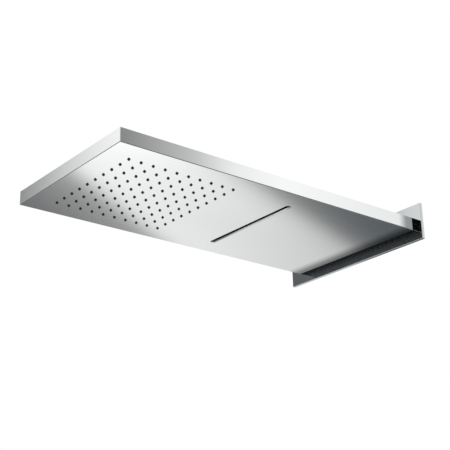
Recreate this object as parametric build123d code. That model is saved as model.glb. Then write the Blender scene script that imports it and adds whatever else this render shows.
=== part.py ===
from build123d import *
from math import atan2, cos, degrees, pi
import os

# Overhead shower head for wall mounting, with a rain field and a cascade slot.
# Sizes are in millimetres. The wall is the plane Y = 0, the head reaches out along -Y, and Z is up.

# Casing
head_width = 240.0
head_reach = 500.0  # from the cover plate's face to the free end
head_height = 19.0
casing_sheet = 1.5
casing_edge_radius = 0.8  # outside of the folded and welded edges
lid_lip_depth = 7.0
lid_edge_radius = 0.6
lid_clearance = 0.15

# Cover plate at the wall
plate_overhang = 17.5  # past the head on all four sides
plate_depth = 4.5
plate_sheet = 1.0
plate_edge_radius = 0.6
plate_clearance = 0.3  # round the head

# Wall bracket and the sleeves that slide over its arms
bracket_sheet = 3.0
bracket_margin = 4.0  # from the inside of the cover plate's rim
bracket_corner_radius = 4.0
screw_hole_radius = 2.75
screw_spacing_x = 210.0
screw_spacing_z = 31.0
arm_offset = 30.0  # from an inlet's axis to the arm beside it
arm_length = 82.0
arm_clearance = 0.3
sleeve_length = 88.0
sleeve_width = 30.0
sleeve_wall = 2.5
sleeve_gap = 0.2  # under the lid
set_screw_radius = 2.5
set_screw_first = 22.0  # from the bracket's face
set_screw_pitch = 42.0
set_screw_recess = 0.6  # below the lid's upper face
set_screw_key = 1.25  # half the key's width across flats
thread_clearance = 0.05
lid_hole_clearance = 0.5

# Rain field
nozzle_columns = 10
nozzle_rows = 10
nozzle_pitch_x = 18.8
nozzle_pitch_y = 18.0
nozzle_front_margin = 36.0  # from the free end to the first row
nozzle_hole_radius = 2.3
nozzle_clearance = 0.2
nozzle_tip_radius = 1.6
nozzle_drop = 1.7  # below the underside
nozzle_sides = 8  # few sides, because the soft nozzles are many
jet_radius = 0.6
jet_sides = 6
mat_sheet = 2.0

# Cascade slot
slot_length = 172.0
slot_width = 9.6
slot_offset = 97.6  # from the last row of nozzles to the slot's middle
lip_wall = 2.2
lip_height = 3.0
lip_edge_radius = 2.0  # where the water leaves
lip_flange = 1.6  # on the casing's floor, past the slot's edge
lip_flange_sheet = 0.8
lip_clearance = 0.05

# Water chambers
chamber_wall = 2.0
chamber_gap = 0.6  # under the lid
chamber_corner_radius = 5.0
rain_border = 12.0  # from the outer nozzles to the rain chamber's wall
rib_wall = 1.6
rib_depth = 4.0
rib_count = 3
gasket_sheet = 1.5
gasket_setback = 3.0  # from the slot's edge
gasket_land_x = 4.0
gasket_land_y = 9.0
baffle_gap = 3.0

# Studs, lugs and nuts that hold the chambers down
stud_radius = 2.0
stud_margin = 1.0  # past the nut
lug_radius = 5.0
lug_offset = 4.5  # from the chamber's wall to the stud
lug_sheet = 3.0
lug_clearance = 0.2
nut_width = 7.0  # across flats
nut_height = 3.2
rain_stud_pitch = 44.0
cascade_stud_pitch = 92.0

# Feed pipes and unions
pipe_radius = 5.0
pipe_wall = 1.0
pipe_clearance = 0.05
pipe_bend_radius = 18.0
pipe_lead = 12.0  # straight run before a bend
pipe_shift_run = 30.0  # along which a pipe moves sideways
pipe_spacing = 3.0  # from the cascade chamber's end to the passing pipe
spigot_wall = 2.0
spigot_length = 9.0
collar_sheet = 1.5
washer_sheet = 1.0
union_gap = 0.6  # to the casing's floor and lid
union_back = 2.5
union_grip = 7.0  # along the spigot
rain_spigot_inset = 12.0  # from the rain chamber's side to the spigot's axis

# Inlets
inlet_inset = 45.0  # from the head's side to the inlet's axis
socket_gap = 0.2  # to the casing's floor and lid
socket_wall = 1.4
socket_neck = 0.6  # step where the socket passes the rear wall
socket_clearance = 0.1
socket_depth = 32.0
socket_web = 4.0
pipe_seat = 6.0
thread_radius = 10.48  # half-inch pipe thread, left plain
thread_start = 1.0  # behind the wall's face
thread_length = 15.0
thread_chamfer = 1.0
thread_hole_clearance = 0.6
nipple_bore = 3.6
nipple_length = 28.0  # of the spigot in the socket
nipple_clearance = 0.15
nipple_key = 4.2  # half the key's width across flats
nipple_key_depth = 8.0
groove_width = 2.2
groove_depth = 1.2
groove_distance = 12.0  # from the casing's rear face
seal_clearance = 0.05
seal_width = 1.8

# Planes that several pieces share
underside_z = -head_height / 2
floor_z = underside_z + casing_sheet
lid_z = head_height / 2
ceiling_z = lid_z - casing_sheet
middle_z = (floor_z + ceiling_z) / 2
face_y = -plate_depth
front_y = face_y - head_reach
rear_y = -bracket_sheet
rear_inside_y = rear_y - casing_sheet
field_length = (nozzle_rows - 1) * nozzle_pitch_y
field_width = (nozzle_columns - 1) * nozzle_pitch_x
field_y = front_y + nozzle_front_margin + field_length / 2
slot_y = field_y + field_length / 2 + slot_offset
chamber_top_z = ceiling_z - chamber_gap

# Plans of the chambers
rain_length = field_length + 2 * (rain_border + chamber_wall)
rain_width = field_width + 2 * (rain_border + chamber_wall)
rain_base_z = floor_z + mat_sheet
rain_rear_y = field_y + rain_length / 2
window_length = slot_length + 2 * gasket_setback
window_width = slot_width + 2 * gasket_setback
cascade_length = window_length + 2 * gasket_land_x
cascade_width = window_width + 2 * gasket_land_y
cascade_base_z = floor_z + gasket_sheet
cascade_rear_y = slot_y + cascade_width / 2

# Places of the nozzles and of the studs
nozzles = [
    Pos(0, field_y) * spot
    for spot in GridLocations(nozzle_pitch_x, nozzle_pitch_y, nozzle_columns, nozzle_rows)
]
rain_studs = [
    Pos(0, field_y) * spot
    for spot in GridLocations(rain_stud_pitch, rain_length + 2 * lug_offset, 4, 2)
]
cascade_studs = [
    Pos(0, slot_y) * spot
    for spot in GridLocations(cascade_stud_pitch, cascade_width + 2 * lug_offset, 2, 2)
]

# Water line: sockets, pipes and unions lie on one level
cascade_x = head_width / 2 - inlet_inset
rain_x = -cascade_x
socket_radius = (ceiling_z - floor_z) / 2 - socket_gap
socket_bore = socket_radius - socket_wall
neck_radius = socket_radius - socket_neck
socket_end_y = rear_inside_y - socket_depth - socket_web - pipe_seat
pipe_start_y = socket_end_y + pipe_seat
pipe_bore = pipe_radius - pipe_wall
spigot_radius = pipe_bore + spigot_wall
nipple_radius = socket_bore - nipple_clearance
groove_radius = nipple_radius - groove_depth
groove_y = rear_y - groove_distance
passing_x = -(cascade_length / 2 + pipe_spacing + pipe_radius)
rain_spigot_x = -(rain_width / 2 - rain_spigot_inset)

# Sleeves and arms
sleeve_end_y = rear_inside_y - sleeve_length
sleeve_top_z = ceiling_z - sleeve_gap
sleeve_mid_z = (floor_z + sleeve_top_z) / 2
sleeve_height = sleeve_top_z - floor_z
arm_width = sleeve_width - 2 * (sleeve_wall + arm_clearance)
arm_height = sleeve_height - 2 * (sleeve_wall + arm_clearance)
arm_top_z = sleeve_mid_z + arm_height / 2
arm_x = cascade_x - arm_offset
set_screws = [
    Pos(x, rear_y - set_screw_first - step * set_screw_pitch)
    for x in (-arm_x, arm_x)
    for step in (0, 1)
]

# Cover plate
plate_width = head_width + 2 * plate_overhang
plate_height = head_height + 2 * plate_overhang


def slab(sketch, bottom, top):
    """A flat sketch raised between two heights."""
    return extrude(Pos(0, 0, bottom) * sketch, top - bottom)


def turned(points):
    """A piece turned about the Y axis from its outline of (radius, y) points."""
    return revolve(make_face(Polyline(*points, close=True)), Axis.Y)


def upright(sketch, near, far):
    """A sketch in the wall's plane (X, Z) raised from Y = near to Y = far, with far nearer the room."""
    return extrude(Plane((0, near, 0), x_dir=(1, 0, 0), z_dir=(0, -1, 0)) * sketch, near - far)


def slot_outline(margin):
    """The slot's outline, widened on all sides by a margin."""
    return SlotOverall(slot_length + 2 * margin, slot_width + 2 * margin)


def lower_pan():
    """The folded casing: underside with nozzle holes and a slot, and four walls, the rear one with ports."""
    length = rear_y - front_y
    plan = Pos(0, (front_y + rear_y) / 2)
    pan = slab(plan * Rectangle(head_width, length), underside_z, lid_z)
    folded = pan.faces().sort_by(Axis.Z)[0].edges() + pan.edges().filter_by(Axis.Z)
    pan = fillet(folded, casing_edge_radius)
    inside = Rectangle(head_width - 2 * casing_sheet, length - 2 * casing_sheet)
    pan -= slab(plan * inside, floor_z, lid_z)

    holes = Sketch() + [spot * Circle(nozzle_hole_radius) for spot in nozzles]
    holes += Pos(0, slot_y) * slot_outline(0)
    pan -= slab(holes, underside_z, floor_z)

    arm_window = Rectangle(arm_width + 2 * arm_clearance, arm_height + 2 * arm_clearance)
    ports = Sketch() + [Pos(x, sleeve_mid_z) * arm_window for x in (-arm_x, arm_x)]
    ports += [
        Pos(x, middle_z) * Circle(neck_radius + socket_clearance) for x in (rain_x, cascade_x)
    ]
    return pan - upright(ports, rear_y, rear_inside_y)


def top_lid():
    """The upper sheet, let into the casing flush, with lips folded down on three sides."""
    width = head_width - 2 * (casing_sheet + lid_clearance)
    front = front_y + casing_sheet + lid_clearance
    rear = rear_inside_y - lid_clearance
    plan = Pos(0, (front + rear) / 2) * Rectangle(width, rear - front)
    lid = slab(plan, ceiling_z - lid_lip_depth, lid_z)
    folds = lid.faces().sort_by(Axis.Z)[-1].edges().sort_by(Axis.Y)[:-1]
    lid = fillet(folds, lid_edge_radius)
    hollow = Rectangle(width - 2 * casing_sheet, rear - front)
    lid -= slab(Pos(0, (front + rear) / 2 + casing_sheet) * hollow, ceiling_z - lid_lip_depth, ceiling_z)
    hole = Circle(set_screw_radius + lid_hole_clearance)
    lid -= [spot * slab(hole, ceiling_z, lid_z) for spot in set_screws]
    return lid


def nozzle_mat():
    """One soft moulding: a flat mat with tapered nozzles that stand through the casing's holes."""
    tip_z = underside_z - nozzle_drop
    root_radius = nozzle_hole_radius - nozzle_clearance
    taper = (root_radius - nozzle_tip_radius) * cos(pi / nozzle_sides)
    nozzle = slab(RegularPolygon(root_radius, nozzle_sides), tip_z, floor_z)
    flanks = nozzle.faces().filter_by(Axis.Z, reverse=True)
    nozzle = draft(flanks, Plane((0, 0, floor_z)), -degrees(atan2(taper, floor_z - tip_z)))
    jet = slab(RegularPolygon(jet_radius, jet_sides), tip_z, rain_base_z)
    mat = slab(Pos(0, field_y) * Rectangle(rain_width, rain_length), floor_z, rain_base_z)
    mat += [spot * nozzle for spot in nozzles]
    return mat - [spot * jet for spot in nozzles]


def lugs(spots, middle_y):
    """Ears round a chamber's studs, as a sketch that reaches in to the chamber's front and rear walls."""
    ears = Sketch()
    for spot in spots:
        inward = lug_offset / 2 if spot.position.Y < middle_y else -lug_offset / 2
        ears += spot * Circle(lug_radius)
        ears += spot * Pos(0, inward) * Rectangle(2 * lug_radius, lug_offset)
    return ears - [spot * Circle(stud_radius + lug_clearance) for spot in spots]


def spigot(x, wall_y):
    """A tube on a chamber's rear wall that a pipe is drawn onto."""
    end_y = wall_y + spigot_length
    tube = turned([(pipe_bore, wall_y), (spigot_radius, wall_y), (spigot_radius, end_y), (pipe_bore, end_y)])
    return Pos(x, 0, middle_z) * tube


def spigot_bore(x, wall_y):
    inside_y = wall_y - chamber_wall
    return Pos(x, 0, middle_z) * turned([(0, inside_y), (pipe_bore, inside_y), (pipe_bore, wall_y), (0, wall_y)])


def rain_chamber():
    """A moulded tray, open below, that clamps the mat and fills the nozzles."""
    plan = Pos(0, field_y)
    outline = RectangleRounded(rain_width, rain_length, chamber_corner_radius)
    cavity = RectangleRounded(
        rain_width - 2 * chamber_wall, rain_length - 2 * chamber_wall, chamber_corner_radius - chamber_wall
    )
    roof_z = chamber_top_z - chamber_wall
    tray = slab(plan * outline, rain_base_z, chamber_top_z)
    tray += slab(lugs(rain_studs, field_y), rain_base_z, rain_base_z + lug_sheet)
    tray += spigot(rain_spigot_x, rain_rear_y)

    ribs = Sketch() + [
        spot * Rectangle(rib_wall, rain_length)
        for spot in GridLocations(rain_width / (rib_count + 1), 0, rib_count, 1)
    ]
    ribs += [
        spot * Rectangle(rain_width, rib_wall)
        for spot in GridLocations(0, rain_length / (rib_count + 1), 1, rib_count)
    ]
    tray -= slab(plan * cavity, rain_base_z, roof_z - rib_depth)
    tray -= slab(plan * (cavity - ribs), roof_z - rib_depth, roof_z)
    return tray - spigot_bore(rain_spigot_x, rain_rear_y)


def cascade_chamber():
    """A moulded channel over the slot, with a baffle that spreads the water along it."""
    plan = Pos(0, slot_y)
    inner_length = cascade_length - 2 * chamber_wall
    inner_width = cascade_width - 2 * chamber_wall
    floor = cascade_base_z + chamber_wall
    roof = chamber_top_z - chamber_wall
    outline = RectangleRounded(cascade_length, cascade_width, chamber_corner_radius)
    cavity = RectangleRounded(inner_length, inner_width, chamber_corner_radius - chamber_wall)
    channel = slab(plan * outline, cascade_base_z, chamber_top_z)
    channel += slab(lugs(cascade_studs, slot_y), cascade_base_z, cascade_base_z + lug_sheet)
    channel += spigot(cascade_x, cascade_rear_y)
    baffle = Pos(0, (window_width + rib_wall) / 2) * Rectangle(cascade_length, rib_wall)
    channel -= slab(plan * cavity, floor, floor + baffle_gap)
    channel -= slab(plan * (cavity - baffle), floor + baffle_gap, roof)
    channel -= slab(plan * slot_outline(gasket_setback), cascade_base_z, floor)
    return channel - spigot_bore(cascade_x, cascade_rear_y)


def cascade_lip():
    """The lining of the slot: a rounded mouth for the sheet of water, and a flange on the casing's floor."""
    lip = slab(slot_outline(-lip_clearance), underside_z, underside_z + lip_height)
    lip += slab(slot_outline(lip_flange), floor_z, floor_z + lip_flange_sheet)
    lip -= slab(slot_outline(-lip_wall), underside_z, underside_z + lip_height)
    mouth = lip.faces().sort_by(Axis.Z)[0].inner_wires()[0].edges()
    return Pos(0, slot_y) * fillet(mouth, lip_edge_radius)


def cascade_gasket():
    """A flat rubber frame between the cascade chamber and the casing's floor."""
    frame = RectangleRounded(cascade_length, cascade_width, chamber_corner_radius)
    frame -= slot_outline(gasket_setback)
    return slab(Pos(0, slot_y) * frame, floor_z, cascade_base_z)


def chamber_studs(spots, base_z):
    """Studs welded to the casing's floor, for the lugs of one chamber."""
    top_z = base_z + lug_sheet + nut_height + stud_margin
    return Compound(children=[spot * slab(Circle(stud_radius), floor_z, top_z) for spot in spots])


def chamber_nuts(spots, base_z):
    """Hexagon nuts on the studs of one chamber."""
    seat = base_z + lug_sheet
    section = RegularPolygon(nut_width / 2, 6, major_radius=False) - Circle(stud_radius + thread_clearance)
    return Compound(children=[spot * slab(section, seat, seat + nut_height) for spot in spots])


def collar(x, spigot_end_y):
    """The ring brazed to a pipe's end, which its union nut pulls on."""
    back_y = spigot_end_y + washer_sheet
    front = back_y + collar_sheet
    ring = turned([(pipe_bore, back_y), (spigot_radius, back_y), (spigot_radius, front), (pipe_bore, front)])
    return Pos(x, 0, middle_z) * ring


def pipe(points, end_y):
    """A tube along a bent centre line, with a collar at its last point."""
    line = FilletPolyline(*points, radius=pipe_bend_radius) if len(points) > 2 else Line(*points)
    section = Plane(points[0], z_dir=line % 0) * (Circle(pipe_radius) - Circle(pipe_bore))
    return sweep(section, path=line) + collar(points[-1][0], end_y)


def rain_feed_pipe():
    """From its socket, round the end of the cascade chamber, to the rain chamber's rear wall."""
    end_y = rain_rear_y + spigot_length
    stop_y = end_y + washer_sheet
    first_y = socket_end_y - pipe_lead
    second_y = first_y - pipe_shift_run
    fourth_y = stop_y + collar_sheet + union_back + pipe_lead
    third_y = fourth_y + pipe_shift_run
    route = [
        (rain_x, pipe_start_y, middle_z),
        (rain_x, first_y, middle_z),
        (passing_x, second_y, middle_z),
        (passing_x, third_y, middle_z),
        (rain_spigot_x, fourth_y, middle_z),
        (rain_spigot_x, stop_y, middle_z),
    ]
    return pipe(route, end_y)


def cascade_feed_pipe():
    """Straight from its socket to the cascade chamber's rear wall."""
    end_y = cascade_rear_y + spigot_length
    stop_y = end_y + washer_sheet
    return pipe([(cascade_x, pipe_start_y, middle_z), (cascade_x, stop_y, middle_z)], end_y)


def union_nut(x, wall_y):
    """The hexagon nut that draws a pipe's collar onto a chamber's spigot."""
    end_y = wall_y + spigot_length
    shoulder_y = end_y + washer_sheet + collar_sheet
    back_y = shoulder_y + union_back
    near_y = end_y - union_grip
    width = ceiling_z - floor_z - 2 * union_gap
    body = upright(RegularPolygon(width / 2, 6, major_radius=False), back_y, near_y)
    wide = spigot_radius + thread_clearance
    narrow = pipe_radius + pipe_clearance
    body -= turned(
        [(0, near_y), (wide, near_y), (wide, shoulder_y), (narrow, shoulder_y), (narrow, back_y), (0, back_y)]
    )
    return Pos(x, 0, middle_z) * body


def union_washers():
    """Flat seals between each spigot and its pipe's collar."""
    rings = []
    for x, wall_y in ((rain_spigot_x, rain_rear_y), (cascade_x, cascade_rear_y)):
        near = wall_y + spigot_length
        far = near + washer_sheet
        outline = [(pipe_bore, near), (spigot_radius, near), (spigot_radius, far), (pipe_bore, far)]
        rings.append(Pos(x, 0, middle_z) * turned(outline))
    return Compound(children=rings)


def inlet_socket(x):
    """A turned socket in the casing's rear wall: the nipple plugs in behind, the pipe is brazed in front."""
    web_y = rear_inside_y - socket_depth
    seat_y = web_y - socket_web
    seat_radius = pipe_radius + pipe_clearance
    body = turned(
        [
            (socket_bore, rear_y),
            (neck_radius, rear_y),
            (neck_radius, rear_inside_y),
            (socket_radius, rear_inside_y),
            (socket_radius, socket_end_y),
            (seat_radius, socket_end_y),
            (seat_radius, seat_y),
            (pipe_bore, seat_y),
            (pipe_bore, web_y),
            (socket_bore, web_y),
        ]
    )
    return Pos(x, 0, middle_z) * body


def inlet_nipple(x):
    """The half-inch wall connection, with a sealed spigot and a key socket in its end."""
    end_y = rear_y - nipple_length
    back_y = thread_start + thread_length
    body = turned(
        [
            (nipple_bore, back_y),
            (thread_radius - thread_chamfer, back_y),
            (thread_radius, back_y - thread_chamfer),
            (thread_radius, thread_start),
            (nipple_radius, thread_start),
            (nipple_radius, groove_y),
            (groove_radius, groove_y),
            (groove_radius, groove_y - groove_width),
            (nipple_radius, groove_y - groove_width),
            (nipple_radius, end_y),
            (nipple_bore, end_y),
        ]
    )
    key = RegularPolygon(nipple_key, 6, major_radius=False)
    body -= upright(key, end_y + nipple_key_depth, end_y)
    return Pos(x, 0, middle_z) * body


def inlet_seal_rings():
    """Square-section rubber rings in the nipples' grooves."""
    inner = groove_radius + seal_clearance
    outer = socket_bore - seal_clearance
    section = Pos((inner + outer) / 2, groove_y - groove_width / 2) * Rectangle(outer - inner, seal_width)
    ring = revolve(section, Axis.Y)
    return Compound(children=[Pos(x, 0, middle_z) * ring for x in (rain_x, cascade_x)])


def arm_sleeve(x):
    """A rectangular tube welded into the casing, tapped for the set screws."""
    section = Rectangle(sleeve_width, sleeve_height)
    section -= Rectangle(sleeve_width - 2 * sleeve_wall, sleeve_height - 2 * sleeve_wall)
    tube = upright(Pos(x, sleeve_mid_z) * section, rear_inside_y, sleeve_end_y)
    hole = Circle(set_screw_radius + thread_clearance)
    return tube - [spot * slab(hole, sleeve_mid_z, sleeve_top_z) for spot in set_screws]


def wall_bracket():
    """The plate screwed to the wall, with holes for the nipples and two arms welded to its face."""
    rim = plate_sheet + bracket_margin
    face = RectangleRounded(plate_width - 2 * rim, plate_height - 2 * rim, bracket_corner_radius)
    face -= [spot * Circle(screw_hole_radius) for spot in GridLocations(screw_spacing_x, screw_spacing_z, 2, 2)]
    face -= [
        Pos(x, middle_z) * Circle(thread_radius + thread_hole_clearance) for x in (rain_x, cascade_x)
    ]
    bracket = upright(face, 0, rear_y)
    arm = Rectangle(arm_width, arm_height)
    for x in (-arm_x, arm_x):
        bracket += upright(Pos(x, sleeve_mid_z) * arm, rear_y, rear_y - arm_length)
    return bracket


def arm_set_screws():
    """Headless screws, reached through the lid, that press on the arms."""
    top_z = lid_z - set_screw_recess
    shank = slab(Circle(set_screw_radius), arm_top_z, top_z)
    key = RegularPolygon(set_screw_key, 6, major_radius=False)
    shank -= slab(key, (arm_top_z + top_z) / 2, top_z)
    return Compound(children=[spot * shank for spot in set_screws])


def wall_cover_plate():
    """The folded escutcheon: a shallow tray, open to the wall, that fits round the head."""
    plate = upright(Rectangle(plate_width, plate_height), 0, face_y)
    folded = plate.faces().sort_by(Axis.Y)[0].edges() + plate.edges().filter_by(Axis.Y)
    plate = fillet(folded, plate_edge_radius)
    inside = Rectangle(plate_width - 2 * plate_sheet, plate_height - 2 * plate_sheet)
    plate -= upright(inside, 0, face_y + plate_sheet)
    gap = Rectangle(head_width + 2 * plate_clearance, head_height + 2 * plate_clearance)
    return plate - upright(gap, face_y + plate_sheet, face_y)


parts = {
    "lower_pan": lower_pan(),
    "top_lid": top_lid(),
    "nozzle_mat": nozzle_mat(),
    "rain_chamber": rain_chamber(),
    "rain_chamber_studs": chamber_studs(rain_studs, rain_base_z),
    "rain_chamber_nuts": chamber_nuts(rain_studs, rain_base_z),
    "cascade_chamber": cascade_chamber(),
    "cascade_lip": cascade_lip(),
    "cascade_gasket": cascade_gasket(),
    "cascade_chamber_studs": chamber_studs(cascade_studs, cascade_base_z),
    "cascade_chamber_nuts": chamber_nuts(cascade_studs, cascade_base_z),
    "rain_feed_pipe": rain_feed_pipe(),
    "cascade_feed_pipe": cascade_feed_pipe(),
    "rain_union_nut": union_nut(rain_spigot_x, rain_rear_y),
    "cascade_union_nut": union_nut(cascade_x, cascade_rear_y),
    "union_washers": union_washers(),
    "rain_inlet_socket": inlet_socket(rain_x),
    "cascade_inlet_socket": inlet_socket(cascade_x),
    "rain_inlet_nipple": inlet_nipple(rain_x),
    "cascade_inlet_nipple": inlet_nipple(cascade_x),
    "inlet_seal_rings": inlet_seal_rings(),
    "left_arm_sleeve": arm_sleeve(-arm_x),
    "right_arm_sleeve": arm_sleeve(arm_x),
    "wall_bracket": wall_bracket(),
    "arm_set_screws": arm_set_screws(),
    "wall_cover_plate": wall_cover_plate(),
}

os.makedirs("parts", exist_ok=True)
for name, shape in parts.items():
    export_step(shape, f"parts/{name}.step")
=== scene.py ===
"""Looks of a wall-mounted overhead shower head with a rain field and a cascade slot."""

from math import cos, pi, radians, tau

import bmesh
import bpy
from bpy.props import FloatProperty, FloatVectorProperty, IntProperty, PointerProperty
from mathutils import Euler, Matrix, Vector


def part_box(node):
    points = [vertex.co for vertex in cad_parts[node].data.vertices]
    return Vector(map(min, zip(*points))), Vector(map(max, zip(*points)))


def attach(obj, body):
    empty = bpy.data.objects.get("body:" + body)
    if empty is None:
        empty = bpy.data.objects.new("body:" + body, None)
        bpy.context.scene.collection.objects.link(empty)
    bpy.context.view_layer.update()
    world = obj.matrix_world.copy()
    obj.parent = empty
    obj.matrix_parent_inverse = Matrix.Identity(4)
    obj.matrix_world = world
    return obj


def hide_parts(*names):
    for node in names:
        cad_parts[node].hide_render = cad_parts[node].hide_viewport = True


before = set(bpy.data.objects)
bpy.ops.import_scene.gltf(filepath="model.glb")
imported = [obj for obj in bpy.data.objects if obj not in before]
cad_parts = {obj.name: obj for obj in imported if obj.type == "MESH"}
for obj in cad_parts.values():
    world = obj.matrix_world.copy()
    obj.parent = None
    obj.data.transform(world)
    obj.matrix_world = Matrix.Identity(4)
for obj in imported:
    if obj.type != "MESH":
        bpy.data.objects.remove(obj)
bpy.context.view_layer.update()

bl_info = {
    "name": "Overhead shower head",
    "version": (1, 0, 0),
    "blender": (4, 5, 0),
    "location": "3D View > Sidebar > Shower head",
    "description": "Finishes, soft nozzles, threads and studio for an overhead shower head",
    "category": "Object",
}

MAT_LOW, MAT_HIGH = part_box("nozzle_mat")
MM = 0.001
TOUCHING = 1e-6  # points closer than this are the same point
CUT_SLACK = 1e-7  # how far a cutting plane may miss a point and still take it
NOZZLE_CREASE = radians(50)
THREAD_CREASE = radians(28)
SENSOR_WIDTH = 36.0

# A face looks along an axis when its normal's share along that axis is over this.
FACING = 0.7

# Shade is painted into the casing's colour toward the wall: where along Y that starts, where it is full on
# the faces below and above and on those at the sides, and what tone of the steel is left there.
SHADE_START = -0.034
SHADE_FULL_BELOW = -0.006
SHADE_FULL_AT_SIDES = -0.014
SHADE_BELOW = 0.17
SHADE_AT_SIDES = 0.36


class Wire:
    """An output socket of a shader tree. Arithmetic on it adds Math nodes, and node() adds any other node."""

    def __init__(self, tree, socket=None):
        self.tree = tree
        self.socket = socket

    def node(self, kind, settings, sockets, output=0):
        made = self.tree.nodes.new(kind)
        for name, value in settings.items():
            if name == "stops":
                set_stops(made.color_ramp, value)
            else:
                setattr(made, name, value)
        for key, value in sockets.items():
            if isinstance(value, Wire):
                self.tree.links.new(value.socket, made.inputs[key])
            else:
                made.inputs[key].default_value = value
        return Wire(self.tree, made.outputs[output])

    def math(self, operation, first, second):
        return self.node("ShaderNodeMath", {"operation": operation}, {0: first, 1: second})

    def __add__(self, other):
        return self.math("ADD", self, other)

    __radd__ = __add__

    def __sub__(self, other):
        return self.math("SUBTRACT", self, other)

    def __mul__(self, other):
        return self.math("MULTIPLY", self, other)

    __rmul__ = __mul__

    def __gt__(self, other):
        return self.math("GREATER_THAN", self, other)

    def __abs__(self):
        return self.math("ABSOLUTE", self, 0.0)


def set_stops(ramp, stops):
    """Gives a colour ramp its (position, colour) stops."""
    while len(ramp.elements) < len(stops):
        ramp.elements.new(1.0)
    for element, (position, colour) in zip(ramp.elements, stops):
        element.position = position
        element.color = colour


def new_finish(name, constants):
    """A material with constant shader sockets; returns it, its shader and a wire to start from."""
    material = bpy.data.materials.new(name)
    material.use_nodes = True
    shader = material.node_tree.nodes["Principled BSDF"]
    for socket, value in constants.items():
        shader.inputs[socket].default_value = value
    return material, shader, Wire(material.node_tree)


def feed(shader, socket, wire):
    """Links a wire to a shader's socket."""
    wire.tree.links.new(wire.socket, shader.inputs[socket])


def place_of(start):
    """The object's own coordinates, in metres."""
    return start.node("ShaderNodeTexCoord", {}, {}, "Object")


def grain(place, scale, detail=2.0):
    """Noise from 0 to 1 whose grain is stretched by a scale for each axis, in waves per metre."""
    stretched = place.node("ShaderNodeMapping", {}, {"Vector": place, "Scale": scale})
    return place.node(
        "ShaderNodeTexNoise",
        {"noise_dimensions": "3D"},
        {"Vector": stretched, "Scale": 1.0, "Detail": detail, "Roughness": 0.55},
        "Fac",
    )


def mix_colours(share, first, second):
    """The first colour where the share is 0, and the second where it is 1."""
    return share.node("ShaderNodeMix", {"data_type": "RGBA"}, {0: share, 6: first, 7: second}, 2)


def mix_values(share, first, second):
    """The first value where the share is 0, and the second where it is 1."""
    return share.node("ShaderNodeMix", {"data_type": "FLOAT"}, {0: share, 2: first, 3: second}, 0)


def relief(height, distance, strength):
    """A bump normal from a height that runs from 0 to 1 over the given distance."""
    return height.node(
        "ShaderNodeBump", {}, {"Strength": strength, "Distance": distance, "Height": height}, "Normal"
    )


def tone(colour, factor):
    """A colour made darker or lighter by a factor."""
    return (*(min(1.0, c * factor) for c in colour[:3]), 1.0)


def grey(level):
    """A grey of the given brightness."""
    return (level, level, level, 1.0)


def mottled(share, colour, dark, light):
    """A colour that varies between a darker and a lighter tone of itself."""
    return mix_colours(share, tone(colour, dark), tone(colour, light))


def sway(noise, amount):
    """Noise turned into a value that swings about zero over the given amount."""
    return (noise - 0.5) * amount


def axis_of(vector, axis):
    """One coordinate of a vector."""
    return vector.node("ShaderNodeSeparateXYZ", {}, {0: vector}, axis)


def rise(value, start, full):
    """A share that is 0 where the value is at the start and 1 where it is full."""
    return value.node("ShaderNodeMapRange", {}, {"Value": value, "From Min": start, "From Max": full})


def wall_shade(place, full_at):
    """How much shade is painted on the casing toward the wall, from 0 out in the room to 1 where the painted
    shade is full.
    """
    return place.node(
        "ShaderNodeMapRange",
        {"interpolation_type": "SMOOTHSTEP"},
        {"Value": axis_of(place, "Y"), "From Min": SHADE_START, "From Max": full_at},
    )


def brushed_steel(name, colour, roughness, brushing, fold_reflection_tone):
    """Stainless sheet, finely brushed along its length, and along X on the faces that look along Y.
    The folded edges are painted with a dark reflection, and shade is painted on the sheet toward the wall."""
    material, shader, start = new_finish(name, {"Metallic": 1.0})
    place = place_of(start)
    normal = start.node("ShaderNodeTexCoord", {}, {}, "Normal")
    across_x, across_y, across_z = [abs(axis_of(normal, axis)) for axis in "XYZ"]
    side_face = across_x > FACING
    end_face = across_y > FACING
    along = grain(place, scale=(2600.0, 14.0, 2600.0))
    across = grain(place, scale=(14.0, 2600.0, 2600.0))
    lines = mix_values(end_face, along, across)
    clouds = grain(place, scale=(9.0, 5.0, 9.0), detail=1.0)
    sheet = mottled(clouds, colour, dark=0.985, light=1.015)
    # Painted shade: the steel's colour darkens toward the wall, more on the faces below and above than on
    # those at the sides.
    shade_below = wall_shade(place, SHADE_FULL_BELOW)
    shade_at_sides = wall_shade(place, SHADE_FULL_AT_SIDES)
    near_wall = mix_values(side_face, shade_below, shade_at_sides)
    darkest = mix_colours(side_face, tone(colour, SHADE_BELOW), tone(colour, SHADE_AT_SIDES))
    face = mix_colours(near_wall, sheet, darkest)
    # Painted dark reflection along the folded edges, weaker along those that look along Y.
    end_fold_weight = 0.7
    fold_reflection_share = rise((across_x + end_fold_weight * across_y) * across_z, start=0.05, full=0.25)
    feed(shader, "Base Color", mix_colours(fold_reflection_share, face, tone(colour, fold_reflection_tone)))
    feed(shader, "Roughness", roughness + sway(lines, brushing) + sway(clouds, amount=0.015))
    feed(shader, "Normal", relief(lines, distance=2e-6, strength=0.15))
    return material


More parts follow.
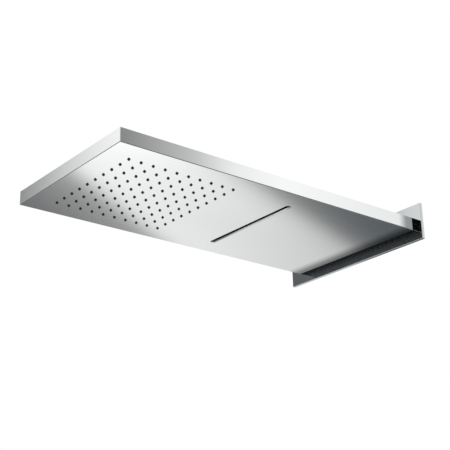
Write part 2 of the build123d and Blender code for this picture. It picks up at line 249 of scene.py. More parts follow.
def lip_steel(name, colour, roughness, brushing):
    """The slot's pressed lip, brushed along it.
    Shade is painted on its front and both ends, and a darker reflection on the far part and the near end of
    its back."""
    material, shader, start = new_finish(name, {"Metallic": 1.0})
    place = place_of(start)
    normal = start.node("ShaderNodeTexCoord", {}, {}, "Normal")
    along = axis_of(place, "X")
    lines = grain(place, scale=(14.0, 2600.0, 2600.0))
    far = rise(along, start=-0.01, full=-0.06)
    near = rise(along, start=0.073, full=0.08)
    at_end = rise(abs(axis_of(normal, "X")), start=0.05, full=0.3)
    at_front = rise(axis_of(normal, "Y"), start=0.02, full=0.2)
    lip = colour
    # Painted shade on the front and ends, and a painted darker reflection on the back's far part and near
    # end.
    for share, shade in ((far, 0.5), (near, 0.4), (at_end, 0.3), (at_front, 0.06)):
        lip = mix_colours(share, lip, tone(colour, shade))
    feed(shader, "Base Color", lip)
    feed(shader, "Roughness", roughness + sway(lines, brushing))
    return material


def mirror_steel(name, colour, roughness):
    """Polished sheet with faint wiping marks."""
    material, shader, start = new_finish(name, {"Metallic": 1.0})
    place = place_of(start)
    wiped = grain(place, scale=(26.0, 26.0, 60.0), detail=3.0)
    scratches = grain(place, scale=(1800.0, 1800.0, 30.0))
    wiping = 0.02
    scratching = 0.012
    feed(shader, "Base Color", mottled(wiped, colour, dark=0.98, light=1.02))
    feed(shader, "Roughness", roughness + wiped * wiping + scratches * scratching)
    return material


def mill_steel(name, colour, roughness, scale):
    """Plain drawn or rolled steel: mottled, with lines along one axis given by its scale."""
    material, shader, start = new_finish(name, {"Metallic": 1.0})
    place = place_of(start)
    lines = grain(place, scale)
    mottle = grain(place, scale=(160.0, 160.0, 160.0), detail=3.0)
    feed(shader, "Base Color", mottled(mottle, colour, dark=0.88, light=1.08))
    feed(shader, "Roughness", roughness + sway(lines, amount=0.14) + sway(mottle, amount=0.12))
    feed(shader, "Normal", relief(lines, distance=8e-6, strength=0.4))
    return material


def turned_metal(name, colour, roughness):
    """Metal turned on a lathe about the Y axis: fine rings along it and a little tarnish."""
    material, shader, start = new_finish(name, {"Metallic": 1.0})
    place = place_of(start)
    rings = grain(place, scale=(20.0, 5200.0, 20.0))
    tarnish = grain(place, scale=(210.0, 210.0, 210.0), detail=3.0)
    feed(shader, "Base Color", mottled(tarnish, colour, dark=0.82, light=1.08))
    feed(shader, "Roughness", roughness + sway(rings, amount=0.12) + sway(tarnish, amount=0.14))
    feed(shader, "Normal", relief(rings, distance=6e-6, strength=0.4))
    return material


def soft_rubber(name, colour, roughness):
    """Moulded silicone or rubber: matt, with a fine mould grain and faint lime dust."""
    material, shader, start = new_finish(name, {"Metallic": 0.0, "Specular IOR Level": 0.4})
    place = place_of(start)
    mould = grain(place, scale=(3200.0, 3200.0, 3200.0))
    dust = grain(place, scale=(240.0, 240.0, 240.0), detail=4.0)
    feed(shader, "Base Color", mottled(dust, colour, dark=0.75, light=1.35))
    feed(shader, "Roughness", roughness + sway(mould, amount=0.12) + sway(dust, amount=0.1))
    feed(shader, "Normal", relief(mould, distance=2e-5, strength=0.3))
    return material


def moulded_plastic(name, colour, roughness):
    """Glass-filled moulding: flow marks and a fine spark-eroded grain."""
    material, shader, start = new_finish(name, {"Metallic": 0.0, "Specular IOR Level": 0.5})
    place = place_of(start)
    sparks = grain(place, scale=(1500.0, 1500.0, 1500.0))
    flow = grain(place, scale=(30.0, 8.0, 90.0), detail=4.0)
    feed(shader, "Base Color", mottled(flow, colour, dark=0.8, light=1.25))
    feed(shader, "Roughness", roughness + sway(sparks, amount=0.16) + sway(flow, amount=0.1))
    feed(shader, "Normal", relief(sparks, distance=3e-5, strength=0.4))
    return material


def dress(material, *names):
    """Gives CAD nodes a finish; their meshes stay as they are."""
    for name in names:
        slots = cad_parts[name].material_slots
        if not slots:
            raise RuntimeError(f"{name} has no material slot")
        for slot in slots:
            slot.material = material


def add_mesh(name, mesh_builder, material):
    """Makes a mesh object at the origin from a finished bmesh."""
    mesh = bpy.data.meshes.new(name)
    mesh_builder.to_mesh(mesh)
    mesh_builder.free()
    mesh.materials.append(material)
    piece = bpy.data.objects.new(name, mesh)
    bpy.context.scene.collection.objects.link(piece)
    return piece


def smooth_faces(piece, sharp_angle):
    """Smooth shading, but crisp where faces meet at more than the given angle."""
    piece.data.shade_smooth()
    piece.data.set_sharp_from_angle(angle=sharp_angle)


def stand_in(piece, node):
    """The piece replaces a CAD node and rides with the object."""
    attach(piece, "root")
    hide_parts(node)


def outline(builder, points):
    """A chain of edges through the points."""
    corners = [builder.verts.new(p) for p in points]
    edges = [builder.edges.new(pair) for pair in zip(corners, corners[1:])]
    return corners + edges


def loose_edges(builder):
    """The edges that have no face yet."""
    return [e for e in builder.edges if e.is_wire]


def rim_edges(builder, on_plane):
    """The edges of open rims whose vertices all satisfy a test."""
    return [e for e in builder.edges if e.is_boundary and all(on_plane(v.co) for v in e.verts)]


class CasingFinish(bpy.types.PropertyGroup):
    """Finish of the casing and its lid."""

    colour: FloatVectorProperty(
        name="Steel", description="Colour of the brushed casing", subtype="COLOR", size=4,
        min=0.0, max=1.0, default=(0.91, 0.915, 0.915, 1.0),
    )
    roughness: FloatProperty(
        name="Gloss", description="Roughness of the brushed casing", subtype="FACTOR", min=0.0, max=1.0,
        default=0.08,
    )
    brushing: FloatProperty(
        name="Brushing", description="How much the brush lines change the gloss", subtype="FACTOR",
        min=0.0, max=0.2, default=0.03,
    )
    # The folds' tone is a painted dark reflection along the folded edges.
    fold_reflection_tone: FloatProperty(
        name="Folds", description="Tone of the folded edges against the faces", subtype="FACTOR",
        min=0.0, max=1.0, default=0.2,
    )


class CoverPlateFinish(bpy.types.PropertyGroup):
    """Finish of the cover plate at the wall."""

    colour: FloatVectorProperty(
        name="Polished steel", description="Colour of the polished cover plate", subtype="COLOR", size=4,
        min=0.0, max=1.0, default=(0.70, 0.715, 0.72, 1.0),
    )
    roughness: FloatProperty(
        name="Gloss", description="Roughness of the polished cover plate", subtype="FACTOR", min=0.0, max=1.0,
        default=0.02,
    )


class NozzleSizes(bpy.types.PropertyGroup):
    """Sizes and colour of the soft nozzles."""

    columns: IntProperty(name="Columns", description="Nozzles across the head", min=1, default=10)
    rows: IntProperty(name="Rows", description="Nozzles along the head", min=1, default=10)
    pitch_x: FloatProperty(
        name="Pitch across", description="Distance between columns", unit="LENGTH", default=18.8 * MM,
    )
    pitch_y: FloatProperty(
        name="Pitch along", description="Distance between rows", unit="LENGTH", default=18.0 * MM,
    )
    mat_sheet: FloatProperty(
        name="Mat", description="Thickness of the mat behind the nozzles", unit="LENGTH", default=2.0 * MM,
    )
    root_radius: FloatProperty(
        name="Root", description="Radius of a nozzle at the mat", unit="LENGTH", default=2.0 * MM,
    )
    tip_radius: FloatProperty(
        name="Tip", description="Radius of a nozzle near its end", unit="LENGTH", default=1.4 * MM,
    )
    tip_round: FloatProperty(
        name="Rounding", description="Size of the round at a nozzle's end", unit="LENGTH", default=0.35 * MM,
    )
    tip_slope: FloatProperty(
        name="Slope", description="How far the round comes in for its height", min=0.0, default=0.6,
    )
    jet_radius: FloatProperty(
        name="Jet", description="Radius of the water hole", unit="LENGTH", default=0.6 * MM,
    )
    sides: IntProperty(name="Sides", description="Faces round a nozzle, in fours", min=4, default=12)
    colour: FloatVectorProperty(
        name="Silicone", description="Colour of the nozzles", subtype="COLOR", size=4,
        min=0.0, max=1.0, default=(0.016, 0.018, 0.020, 1.0),
    )


class NippleSizes(bpy.types.PropertyGroup):
    """Sizes and colour of the threaded wall connections."""

    offset: FloatProperty(
        name="Offset", description="From the middle to each inlet", unit="LENGTH", default=75.0 * MM,
    )
    thread_radius: FloatProperty(
        name="Thread", description="Outer radius of the pipe thread", unit="LENGTH", default=10.48 * MM,
    )
    thread_depth: FloatProperty(
        name="Depth", description="From crest to root", unit="LENGTH", default=1.16 * MM,
    )
    thread_pitch: FloatProperty(
        name="Pitch", description="Between two crests", unit="LENGTH", default=1.814 * MM,
    )
    thread_start: FloatProperty(
        name="Start", description="Where the thread starts, behind the wall's face", unit="LENGTH",
        default=1.0 * MM,
    )
    thread_end: FloatProperty(
        name="End", description="Where the thread ends, behind the wall's face", unit="LENGTH",
        default=16.0 * MM,
    )
    chamfer: FloatProperty(
        name="Chamfer", description="At the end of the thread", unit="LENGTH", default=1.0 * MM,
    )
    spigot_radius: FloatProperty(
        name="Spigot", description="Radius of the sealed end", unit="LENGTH", default=6.25 * MM,
    )
    spigot_end: FloatProperty(
        name="Spigot end", description="How far the sealed end reaches", unit="LENGTH", default=-31.0 * MM,
    )
    groove_start: FloatProperty(
        name="Groove", description="Where the seal's groove starts", unit="LENGTH", default=-15.0 * MM,
    )
    groove_width: FloatProperty(
        name="Groove width", description="Of the seal's groove", unit="LENGTH", default=2.2 * MM,
    )
    groove_depth: FloatProperty(
        name="Groove depth", description="Of the seal's groove", unit="LENGTH", default=1.2 * MM,
    )
    bore: FloatProperty(
        name="Bore", description="Radius of the waterway", unit="LENGTH", default=3.6 * MM,
    )
    key_width: FloatProperty(
        name="Key", description="Half the key socket's width across flats", unit="LENGTH", default=4.2 * MM,
    )
    key_depth: FloatProperty(
        name="Key depth", description="Of the key socket", unit="LENGTH", default=8.0 * MM,
    )
    steps: IntProperty(name="Steps", description="Faces round the nipple, in sixes", min=12, default=36)
    colour: FloatVectorProperty(
        name="Brass", description="Colour of the turned brass", subtype="COLOR", size=4,
        min=0.0, max=1.0, default=(0.78, 0.58, 0.30, 1.0),
    )


class InnerFinish(bpy.types.PropertyGroup):
    """Colours of the pieces inside and behind the head."""

    bracket_colour: FloatVectorProperty(
        name="Bracket", description="Colour of the bracket and sleeves", subtype="COLOR", size=4,
        min=0.0, max=1.0, default=(0.60, 0.61, 0.62, 1.0),
    )
    pipe_colour: FloatVectorProperty(
        name="Pipes", description="Colour of the drawn pipes", subtype="COLOR", size=4,
        min=0.0, max=1.0, default=(0.66, 0.66, 0.655, 1.0),
    )
    fastener_colour: FloatVectorProperty(
        name="Fasteners", description="Colour of studs, nuts and set screws", subtype="COLOR", size=4,
        min=0.0, max=1.0, default=(0.55, 0.55, 0.54, 1.0),
    )
    plastic_colour: FloatVectorProperty(
        name="Chambers", description="Colour of the moulded chambers", subtype="COLOR", size=4,
        min=0.0, max=1.0, default=(0.022, 0.023, 0.025, 1.0),
    )
    rubber_colour: FloatVectorProperty(
        name="Seals", description="Colour of the rubber seals", subtype="COLOR", size=4,
        min=0.0, max=1.0, default=(0.02, 0.02, 0.021, 1.0),
    )


class StudioSetup(bpy.types.PropertyGroup):
    """Floor, backdrop and camera."""

    floor_drop: FloatProperty(
        name="Floor", description="How far the floor lies below the head", unit="LENGTH", default=2.1,
    )
    floor_size: FloatProperty(
        name="Floor size", description="Width of the square floor", unit="LENGTH", default=80.0,
    )
    floor_colour: FloatVectorProperty(
        name="Floor colour", description="Colour of the pale floor", subtype="COLOR", size=4,
        min=0.0, max=1.0, default=(0.86, 0.86, 0.86, 1.0),
    )
    camera_place: FloatVectorProperty(
        name="Camera", description="Where the camera stands", subtype="XYZ", unit="LENGTH", size=3,
        default=(1.08544, -1.13435, -0.56001),
    )
    camera_turn: FloatVectorProperty(
        name="Camera turn", description="How the camera is turned", subtype="EULER", unit="ROTATION", size=3,
        default=(radians(111.140), radians(1.270), radians(51.411)),
    )
    camera_lens: FloatProperty(
        name="Lens", description="Focal length of the camera in millimetres", min=1.0, default=87.22,
    )


class ShowerHeadSettings(bpy.types.PropertyGroup):
    """All settings of the shower head."""

    casing: PointerProperty(type=CasingFinish)
    plate: PointerProperty(type=CoverPlateFinish)
    nozzles: PointerProperty(type=NozzleSizes)
    nipples: PointerProperty(type=NippleSizes)
    inner: PointerProperty(type=InnerFinish)
    studio: PointerProperty(type=StudioSetup)


class SHOWER_OT_casing(bpy.types.Operator):
    """Brush the casing and its lid"""

    bl_idname = "shower.casing"
    bl_label = "Casing"

    def execute(self, context):
        steel = context.scene.shower_head.casing
        finish = (steel.colour, steel.roughness, steel.brushing)
        dress(brushed_steel("satin_steel", *finish, steel.fold_reflection_tone), "lower_pan", "top_lid")
        dress(lip_steel("lip_steel", *finish), "cascade_lip")
        return {"FINISHED"}


class SHOWER_OT_cover_plate(bpy.types.Operator):
    """Polish the cover plate"""

    bl_idname = "shower.cover_plate"
    bl_label = "Cover plate"

    def execute(self, context):
        steel = context.scene.shower_head.plate
        dress(mirror_steel("polished_steel", steel.colour, steel.roughness), "wall_cover_plate")
        # The casing mirrors the studio, not the plate and the bracket behind it.
        for name in ("wall_cover_plate", "wall_bracket"):
            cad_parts[name].visible_glossy = False
        return {"FINISHED"}


class SHOWER_OT_nozzles(bpy.types.Operator):
    """Mould the silicone mat with its round nozzles"""

    bl_idname = "shower.nozzles"
    bl_label = "Nozzle mat"

    def execute(self, context):
        sizes = context.scene.shower_head.nozzles
        builder = bmesh.new()
        self.add_cell(builder, sizes)
        self.repeat_cell(builder, sizes)
        self.add_border(builder)
        bmesh.ops.recalc_face_normals(builder, faces=builder.faces)
        silicone = soft_rubber("nozzle_silicone", sizes.colour, roughness=0.42)
        piece = add_mesh("soft_nozzle_mat", builder, silicone)
        smooth_faces(piece, NOZZLE_CREASE)
        stand_in(piece, "nozzle_mat")
        return {"FINISHED"}

    def add_cell(self, builder, sizes):
        """One nozzle with the square of mat round it, about the origin."""
        tip = MAT_LOW.z
        top = MAT_HIGH.z
        bottom = top - sizes.mat_sheet
        turn = Matrix.Rotation(pi / sizes.sides, 4, "Z")
        flat_tip_radius = sizes.tip_radius - sizes.tip_round * sizes.tip_slope
        profile = [
            (sizes.root_radius, bottom),
            (sizes.tip_radius, tip + sizes.tip_round),
            (flat_tip_radius, tip),
            (sizes.jet_radius, tip),
            (sizes.jet_radius, top),
        ]
        chain = outline(builder, [turn @ Vector((r, 0, z)) for r, z in profile])
        bmesh.ops.spin(
            builder, geom=chain, cent=(0, 0, 0), axis=(0, 0, 1), angle=tau, steps=sizes.sides, use_merge=True
        )
        unit_square_radius = 0.5 ** 0.5
        for level in (bottom, top):
            frame_of_cell = Matrix.Translation((0, 0, level)) @ Matrix.Rotation(pi / 4, 4, "Z")
            bmesh.ops.create_circle(builder, segments=4, radius=unit_square_radius, matrix=frame_of_cell)
            bmesh.ops.subdivide_edges(builder, edges=loose_edges(builder), cuts=sizes.sides // 4 - 1)
            square = loose_edges(builder)
            corners = list({v for e in square for v in e.verts})
            bmesh.ops.scale(builder, vec=(sizes.pitch_x, sizes.pitch_y, 1), verts=corners)
            rim = rim_edges(builder, lambda place: abs(place.z - level) < TOUCHING)
            bmesh.ops.bridge_loops(builder, edges=square + rim)

    def repeat_cell(self, builder, sizes):
        """Copies the first cell over the whole field and joins the cells."""
        first = builder.faces[:]
        middle_y = (MAT_LOW.y + MAT_HIGH.y) / 2
        first_x = -(sizes.columns - 1) / 2 * sizes.pitch_x
        first_y = middle_y - (sizes.rows - 1) / 2 * sizes.pitch_y
        bmesh.ops.translate(builder, vec=(first_x, first_y, 0), verts=builder.verts)
        for column in range(sizes.columns):
            for row in range(sizes.rows):
                if column or row:
                    copied = bmesh.ops.duplicate(builder, geom=first + self.parts_of(first))["geom"]
                    step = Vector((column * sizes.pitch_x, row * sizes.pitch_y, 0))
                    verts = [v for v in copied if isinstance(v, bmesh.types.BMVert)]
                    bmesh.ops.translate(builder, vec=step, verts=verts)
        bmesh.ops.remove_doubles(builder, verts=builder.verts, dist=TOUCHING)

    def parts_of(self, faces):
        """The corners and edges of faces."""
        return list({v for f in faces for v in f.verts} | {e for f in faces for e in f.edges})

    def add_border(self, builder):
        """Carries the mat out to its edge and closes the rim."""
        rim = [e for e in builder.edges if e.is_boundary]
        field = [v.co for e in rim for v in e.verts]
        width = max(p.x for p in field) - min(p.x for p in field)
        length = max(p.y for p in field) - min(p.y for p in field)
        grown = bmesh.ops.extrude_edge_only(builder, edges=rim)["geom"]
        middle = (MAT_LOW + MAT_HIGH) / 2
        bmesh.ops.scale(
            builder,
            vec=((MAT_HIGH.x - MAT_LOW.x) / width, (MAT_HIGH.y - MAT_LOW.y) / length, 1),
            space=Matrix.Translation(-middle),
            verts=[v for v in grown if isinstance(v, bmesh.types.BMVert)],
        )
        bmesh.ops.bridge_loops(builder, edges=[e for e in builder.edges if e.is_boundary])


class SHOWER_OT_nipples(bpy.types.Operator):
    """Turn the wall connections and cut their pipe threads"""

    bl_idname = "shower.nipples"
    bl_label = "Inlet nipples"

    def execute(self, context):
        sizes = context.scene.shower_head.nipples
        brass = turned_metal("turned_brass", sizes.colour, roughness=0.24)
        dress(brass, "rain_union_nut", "cascade_union_nut", "rain_inlet_socket", "cascade_inlet_socket")
        for side, node in ((-1, "rain_inlet_nipple"), (1, "cascade_inlet_nipple")):
            builder = bmesh.new()
            self.cut_thread(builder, sizes)
            self.turn_spigot(builder, sizes)
            self.join_ends(builder, sizes)
            bmesh.ops.recalc_face_normals(builder, faces=builder.faces)
            bmesh.ops.translate(builder, vec=(side * sizes.offset, 0, 0), verts=builder.verts)
            piece = add_mesh("threaded_" + node, builder, brass)
            smooth_faces(piece, THREAD_CREASE)
            stand_in(piece, node)
        return {"FINISHED"}

    def cut_thread(self, builder, sizes):
        """One outline of teeth, turned once while it moves on by one pitch, then cut flat at both ends."""
        pitch = sizes.thread_pitch
        crest = sizes.thread_radius
        root = crest - sizes.thread_depth
        root_end, crest_start, crest_end = 0.2, 0.5, 0.7
        tooth = ((root, 0.0), (root, root_end), (crest, crest_start), (crest, crest_end))
        low = sizes.thread_start - 2 * pitch
        count = int((sizes.thread_end - low) / pitch) + 2
        points = [Vector((r, low + (turn + share) * pitch, 0)) for turn in range(count) for r, share in tooth]
        bmesh.ops.spin(
            builder, geom=outline(builder, points), cent=(0, 0, 0), axis=(0, 1, 0),
            dvec=(0, pitch / sizes.steps, 0), angle=tau, steps=sizes.steps,
        )
        bmesh.ops.remove_doubles(builder, verts=builder.verts, dist=TOUCHING)
        chamfer_start = sizes.thread_end - sizes.chamfer
        for level, side in ((sizes.thread_start, -1), (chamfer_start, 0), (sizes.thread_end, 1)):
            bmesh.ops.bisect_plane(
                builder, geom=builder.verts[:] + builder.edges[:] + builder.faces[:], dist=CUT_SLACK,
                plane_co=(0, level, 0), plane_no=(0, 1, 0), clear_outer=side > 0, clear_inner=side < 0,
            )
        for corner in builder.verts:
            limit = crest - max(0.0, corner.co.y - chamfer_start)
            radius = corner.co.xz.length
            if radius > limit:
                corner.co.x *= limit / radius
                corner.co.z *= limit / radius

    def turn_spigot(self, builder, sizes):
        """The sealed spigot with its groove, the waterway, and the key socket at its end."""
        groove_end = sizes.groove_start - sizes.groove_width
        groove_radius = sizes.spigot_radius - sizes.groove_depth
        key_floor = sizes.spigot_end + sizes.key_depth
        spigot = [
            (sizes.spigot_radius, sizes.thread_start),
            (sizes.spigot_radius, sizes.groove_start),
            (groove_radius, sizes.groove_start),
            (groove_radius, groove_end),
            (sizes.spigot_radius, groove_end),
            (sizes.spigot_radius, sizes.spigot_end),
        ]
        waterway = [(sizes.bore, sizes.thread_end), (sizes.bore, key_floor)]
        for profile in (spigot, waterway):
            chain = outline(builder, [Vector((r, y, 0)) for r, y in profile])
            bmesh.ops.spin(
                builder, geom=chain, cent=(0, 0, 0), axis=(0, 1, 0), angle=tau, steps=sizes.steps,
                use_merge=True,
            )
        lay = Matrix.Translation((0, key_floor, 0)) @ Matrix.Rotation(pi / 2, 4, "X")
        corner = sizes.key_width / cos(pi / 6)
        bmesh.ops.create_circle(builder, segments=6, radius=corner, matrix=lay)
        bmesh.ops.subdivide_edges(builder, edges=loose_edges(builder), cuts=sizes.steps // 6 - 1)
        walls = bmesh.ops.extrude_edge_only(builder, edges=loose_edges(builder))["geom"]
        ends = [v for v in walls if isinstance(v, bmesh.types.BMVert)]
        bmesh.ops.translate(builder, vec=(0, -sizes.key_depth, 0), verts=ends)

    def join_ends(self, builder, sizes):
        """Bridges the open rings: thread to waterway, thread to spigot, and both ends of the key socket."""
        key_floor = sizes.spigot_end + sizes.key_depth
        for level in (sizes.thread_end, sizes.thread_start, key_floor, sizes.spigot_end):
            ring = rim_edges(builder, lambda place: abs(place.y - level) < TOUCHING)
            bmesh.ops.bridge_loops(builder, edges=ring)


class SHOWER_OT_water_way(bpy.types.Operator):
    """Finish the pipes, chambers and seals"""

    bl_idname = "shower.water_way"
    bl_label = "Pipes, chambers and seals"

    def execute(self, context):
        inner = context.scene.shower_head.inner
        dress(
            mill_steel("pipe_steel", inner.pipe_colour, roughness=0.28, scale=(1500.0, 40.0, 1500.0)),
            "rain_feed_pipe", "cascade_feed_pipe",
        )
        dress(
            moulded_plastic("chamber_plastic", inner.plastic_colour, roughness=0.48),
            "rain_chamber", "cascade_chamber",
        )
        dress(
            soft_rubber("seal_rubber", inner.rubber_colour, roughness=0.55),
            "cascade_gasket", "union_washers", "inlet_seal_rings",
        )
        return {"FINISHED"}


class SHOWER_OT_wall_mount(bpy.types.Operator):
    """Finish the bracket, sleeves and fasteners"""

    bl_idname = "shower.wall_mount"
    bl_label = "Bracket and fasteners"

    def execute(self, context):
        inner = context.scene.shower_head.inner
        dress(
            mill_steel("bracket_steel", inner.bracket_colour, roughness=0.34, scale=(40.0, 1100.0, 1100.0)),
            "wall_bracket", "left_arm_sleeve", "right_arm_sleeve",
        )
        dress(
            mill_steel("fastener_steel", inner.fastener_colour, roughness=0.36, scale=(700.0, 700.0, 3000.0)),
            "arm_set_screws", "rain_chamber_studs", "rain_chamber_nuts",
            "cascade_chamber_studs", "cascade_chamber_nuts",
        )
        return {"FINISHED"}


# Cards of the studio that the steel mirrors: name, four corners, and shades. A shade runs from one point to
# another through stops of (share of the way, brightness), and a card's shades are multiplied.
# The flags are dark cards for the cover plate, which mirrors them by way of the casing or directly.
CARDS = (
    (
        "underside_card",
        ((-2.2, 0.05, -0.81), (-1.0, 0.05, -0.81), (-1.0, 1.95, -0.81), (-2.2, 1.95, -0.81)),
        (
            (
                (-1.458, 0.474, -0.81),
                (-1.793, 0.271, -0.81),
                (
                    (0.0, 1.0), (0.16, 0.96), (0.30, 0.48), (0.37, 0.34), (0.55, 0.27), (0.75, 0.20),
                    (1.0, 0.14),
                ),
            ),
            (
                (-1.426, 0.876, -0.81),
                (-1.0925, 0.997, -0.81),
                (
                    (0.0, 1.0), (0.2, 0.93), (0.3, 0.83), (0.38, 0.63), (0.45, 0.40), (0.545, 0.255),
                    (0.75, 0.18), (1.0, 0.15),
                ),
            ),
            ((-1.58, 0.424, -0.81), (-1.58, 1.575, -0.81), ((0.0, 1.05), (1.0, 0.67))),
            (
                (-1.86, 0.9, -0.81),
                (-1.29, 0.9, -0.81),
                ((0.0, 1.07), (0.2, 1.0), (0.43, 0.95), (0.8, 0.96), (0.93, 1.0), (1.0, 1.06)),
            ),
        ),
    ),
    (
        "front_card",
        ((-1.9, -1.0, 0.15), (-0.4, -1.0, 0.15), (-0.4, -1.0, 0.85), (-1.9, -1.0, 0.85)),
        (
            (
                (-0.4, -1.0, 0.45),
                (-1.9, -1.0, 0.45),
                (
                    (0.0, 0.92), (0.133, 1.02), (0.22, 0.88), (0.307, 0.66), (0.372, 0.45), (0.437, 0.33),
                    (0.48, 0.16), (0.6, 0.14), (1.0, 0.9),
                ),
            ),
        ),
    ),
    (
        "side_card",
        ((1.0, -0.6, 0.15), (1.0, 1.3, 0.15), (1.0, 1.3, 0.85), (1.0, -0.6, 0.85)),
        (
            (
                (1.0, -0.6, 0.5),
                (1.0, 1.1, 0.5),
                (
                    (0.0, 0.9), (0.28, 0.1), (0.344, 0.15), (0.428, 0.34), (0.513, 0.56), (0.584, 0.92),
                    (0.682, 1.03), (1.0, 0.84),
                ),
            ),
        ),
    ),
    (
        "plate_side_flag",
        ((1.0, -1.5, 0.42), (1.0, -0.6, 0.42), (1.0, -0.6, 0.62), (1.0, -1.5, 0.62)),
        (((1.0, -1.5, 0.5), (1.0, -0.6, 0.5), ((0.0, 0.9), (0.32, 0.0), (0.68, 0.0), (1.0, 0.9))),),
    ),
    (
        "plate_flag",
        ((-2.1, -2.0, -0.8), (-0.9, -2.0, -0.8), (-0.9, -1.2, -0.8), (-2.1, -1.2, -0.8)),
        (
            ((-1.5, -2.0, -0.8), (-1.5, -1.2, -0.8), ((0.0, 0.8), (0.27, 0.035), (0.73, 0.035), (1.0, 0.8))),
            ((-1.8, -1.6, -0.8), (-1.2, -1.6, -0.8), ((0.0, 1.2), (1.0, 0.6))),
        ),
    ),
    (
        "plate_corner_flag",
        ((-0.65, -1.2, -0.8), (1.4, -1.2, -0.8), (1.4, -0.4, -0.8), (-0.65, -0.4, -0.8)),
        (((-0.65, -0.8, -0.8), (1.4, -0.8, -0.8), ((0.0, 0.05), (1.0, 0.05))),),
    ),
    (
        "slot_card",
        ((-1.36, -1.2, -0.8), (-0.65, -1.2, -0.8), (-0.65, -0.35, -0.8), (-1.36, -0.35, -0.8)),
        (
            (
                (-1.3, -0.69, -0.8),
                (-0.7, -0.49, -0.8),
                ((0.0, 0.05), (0.36, 0.10), (0.5, 0.5), (0.6, 0.9), (1.0, 1.0)),
            ),
        ),
    ),
)

BRIGHTEST = 1.2  # brightness at the top of a card's colour ramps
COOL_SHADE = (0.80, 1.0, 1.10, 1.0)
CLEAR_SHADE = (0.99, 1.0, 1.0, 1.0)
CLEARING = 4.5  # how fast a card's tint clears as it gets brighter

# Brightness of the room where only reflections see it, from straight down to straight up.
DOME = ((0.0, 0.8), (0.5, 0.95), (0.75, 0.8), (1.0, 0.6))
WHITE = (1.0, 1.0, 1.0, 1.0)
FLOOR_MIDDLE_Y = -0.25


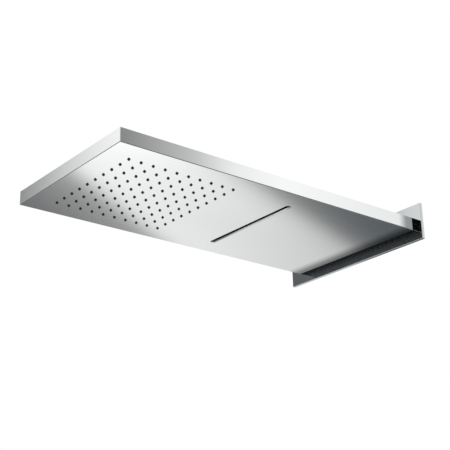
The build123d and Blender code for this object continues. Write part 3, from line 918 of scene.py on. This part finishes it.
class SHOWER_OT_studio(bpy.types.Operator):
    """Set up the floor, the soft light and the camera"""

    bl_idname = "shower.studio"
    bl_label = "Studio"

    def execute(self, context):
        setup = context.scene.shower_head.studio
        self.lay_floor(setup)
        for name, corners, shades in CARDS:
            self.hang_card(name, corners, shades)
        self.light_room(context.scene)
        self.set_camera(context.scene, setup)
        return {"FINISHED"}

    def lay_floor(self, setup):
        """A wide pale floor."""
        material, shader, start = new_finish("pale_floor", {"Roughness": 0.9})
        mottle = grain(place_of(start), scale=(3.0, 3.0, 3.0), detail=4.0)
        feed(shader, "Base Color", mottled(mottle, setup.floor_colour, dark=0.99, light=1.01))
        builder = bmesh.new()
        bmesh.ops.create_grid(
            builder, x_segments=8, y_segments=8, size=setup.floor_size / 2,
            matrix=Matrix.Translation((0, FLOOR_MIDDLE_Y, -setup.floor_drop)),
        )
        add_mesh("floor", builder, material)

    def hang_card(self, name, corners, shades):
        """A card that the object reflects and the camera doesn't see."""
        material = bpy.data.materials.new(name)
        material.use_nodes = True
        tree = material.node_tree
        tree.nodes.clear()
        start = Wire(tree)
        place = place_of(start)
        brightness = 1.0
        for first, last, stops in shades:
            run = Vector(last) - Vector(first)
            from_first = start.node("ShaderNodeVectorMath", {"operation": "SUBTRACT"}, {0: place, 1: first})
            share = start.node(
                "ShaderNodeVectorMath", {"operation": "DOT_PRODUCT"},
                {0: from_first, 1: run / run.length_squared}, "Value",
            )
            greys = [(at, grey(level / BRIGHTEST)) for at, level in stops]
            ramp = start.node("ShaderNodeValToRGB", {"stops": greys}, {0: share}, "Color")
            brightness = brightness * (ramp * BRIGHTEST)
        tint = mix_colours(brightness * CLEARING, COOL_SHADE, CLEAR_SHADE)
        glow = start.node("ShaderNodeEmission", {}, {"Color": tint, "Strength": brightness})
        output = tree.nodes.new("ShaderNodeOutputMaterial")
        tree.links.new(glow.socket, output.inputs["Surface"])
        builder = bmesh.new()
        builder.faces.new([builder.verts.new(c) for c in corners])
        card = add_mesh(name, builder, material)
        card.visible_camera = False

    def light_room(self, scene):
        """A white room: evenly bright behind the object, and softly shaded where only reflections see it."""
        world = bpy.data.worlds.new("studio")
        world.use_nodes = True
        tree = world.node_tree
        tree.nodes.clear()
        start = Wire(tree)
        seen = start.node("ShaderNodeLightPath", {}, {}, "Is Camera Ray")
        up = axis_of(start.node("ShaderNodeTexCoord", {}, {}, "Generated"), "Z")
        greys = [(at, grey(level)) for at, level in DOME]
        dome = start.node("ShaderNodeValToRGB", {"stops": greys}, {0: up * 0.5 + 0.5}, "Color")
        shade = mix_colours(seen, dome, WHITE)
        room = start.node("ShaderNodeBackground", {}, {"Color": shade, "Strength": 1.0})
        output = tree.nodes.new("ShaderNodeOutputWorld")
        tree.links.new(room.socket, output.inputs["Surface"])
        scene.world = world
        scene.view_settings.view_transform = "Standard"

    def set_camera(self, scene, setup):
        """The camera stands where the photograph was taken from."""
        lens = bpy.data.cameras.new("camera")
        lens.lens = setup.camera_lens
        lens.sensor_width = SENSOR_WIDTH
        camera = bpy.data.objects.new("camera", lens)
        camera.location = setup.camera_place
        camera.rotation_euler = Euler(setup.camera_turn)
        scene.collection.objects.link(camera)
        scene.camera = camera


OPERATORS = (
    SHOWER_OT_casing,
    SHOWER_OT_cover_plate,
    SHOWER_OT_nozzles,
    SHOWER_OT_nipples,
    SHOWER_OT_water_way,
    SHOWER_OT_wall_mount,
    SHOWER_OT_studio,
)


class SHOWER_PT_panel(bpy.types.Panel):
    """Lists the pieces of the shower head"""

    bl_idname = "SHOWER_PT_panel"
    bl_label = "Shower head"
    bl_space_type = "VIEW_3D"
    bl_region_type = "UI"
    bl_category = "Shower head"

    def draw(self, context):
        for operator in OPERATORS:
            self.layout.operator(operator.bl_idname)


GROUPS = (
    CasingFinish,
    CoverPlateFinish,
    NozzleSizes,
    NippleSizes,
    InnerFinish,
    StudioSetup,
    ShowerHeadSettings,
)


def register():
    for cls in GROUPS + OPERATORS + (SHOWER_PT_panel,):
        bpy.utils.register_class(cls)
    bpy.types.Scene.shower_head = PointerProperty(type=ShowerHeadSettings)


def unregister():
    del bpy.types.Scene.shower_head
    for cls in reversed(GROUPS + OPERATORS + (SHOWER_PT_panel,)):
        bpy.utils.unregister_class(cls)


def main():
    register()
    bpy.ops.shower.casing()
    bpy.ops.shower.cover_plate()
    bpy.ops.shower.nozzles()
    bpy.ops.shower.nipples()
    bpy.ops.shower.water_way()
    bpy.ops.shower.wall_mount()
    bpy.ops.shower.studio()


if __name__ == "__main__":
    main()
